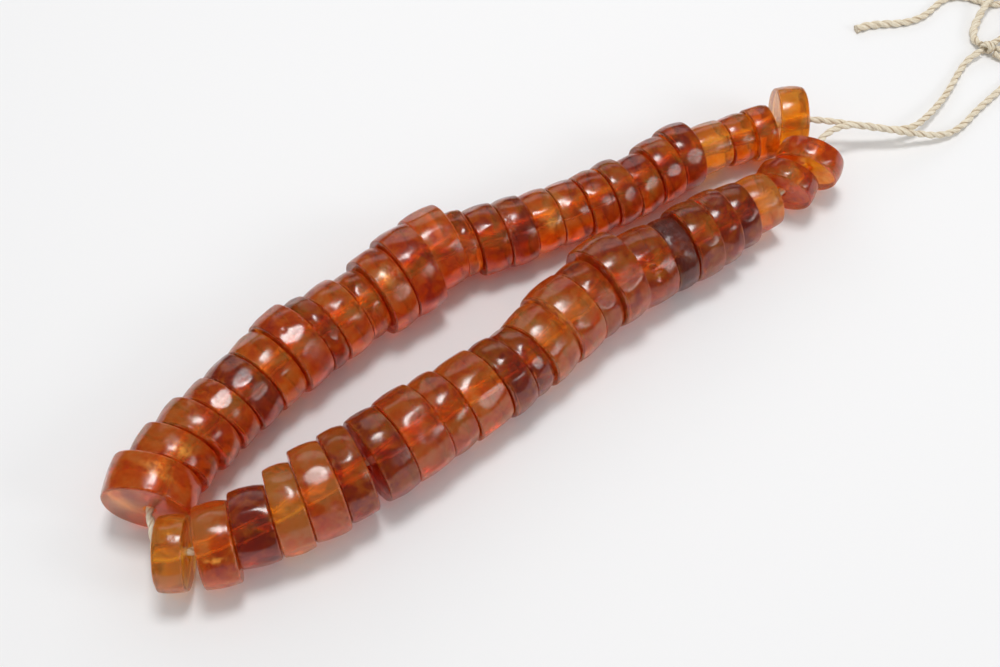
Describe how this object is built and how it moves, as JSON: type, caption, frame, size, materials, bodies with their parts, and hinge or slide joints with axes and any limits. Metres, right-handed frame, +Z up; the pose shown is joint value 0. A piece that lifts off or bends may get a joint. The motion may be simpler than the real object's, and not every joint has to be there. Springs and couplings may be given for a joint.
{
  "type": "bead necklace",
  "caption": "Necklace of fat, hand-cut amber discs on a twisted linen twine tied in a bow, laid down as a narrow loop.",
  "frame": {"origin": "on the resting surface, at the middle of the box of the beads and the thread inside them", "axes": "+X along the two runs of beads, from the fold towards the bow; +Y from the front run to the back run; +Z up"},
  "size_m": [0.3179, 0.0671, 0.0252],
  "materials": {
    "amber": "worn satin amber, translucent at thin edges",
    "twine": "twisted undyed linen twine"
  },
  "bodies": {
    "root": {"beads_back_run": "amber", "beads_front_run": "amber", "thread": "twine", "back_lead": "twine", "front_lead": "twine", "knot": "twine", "bow_loop": "twine", "tail": "twine"}
  },
  "joints": []
}
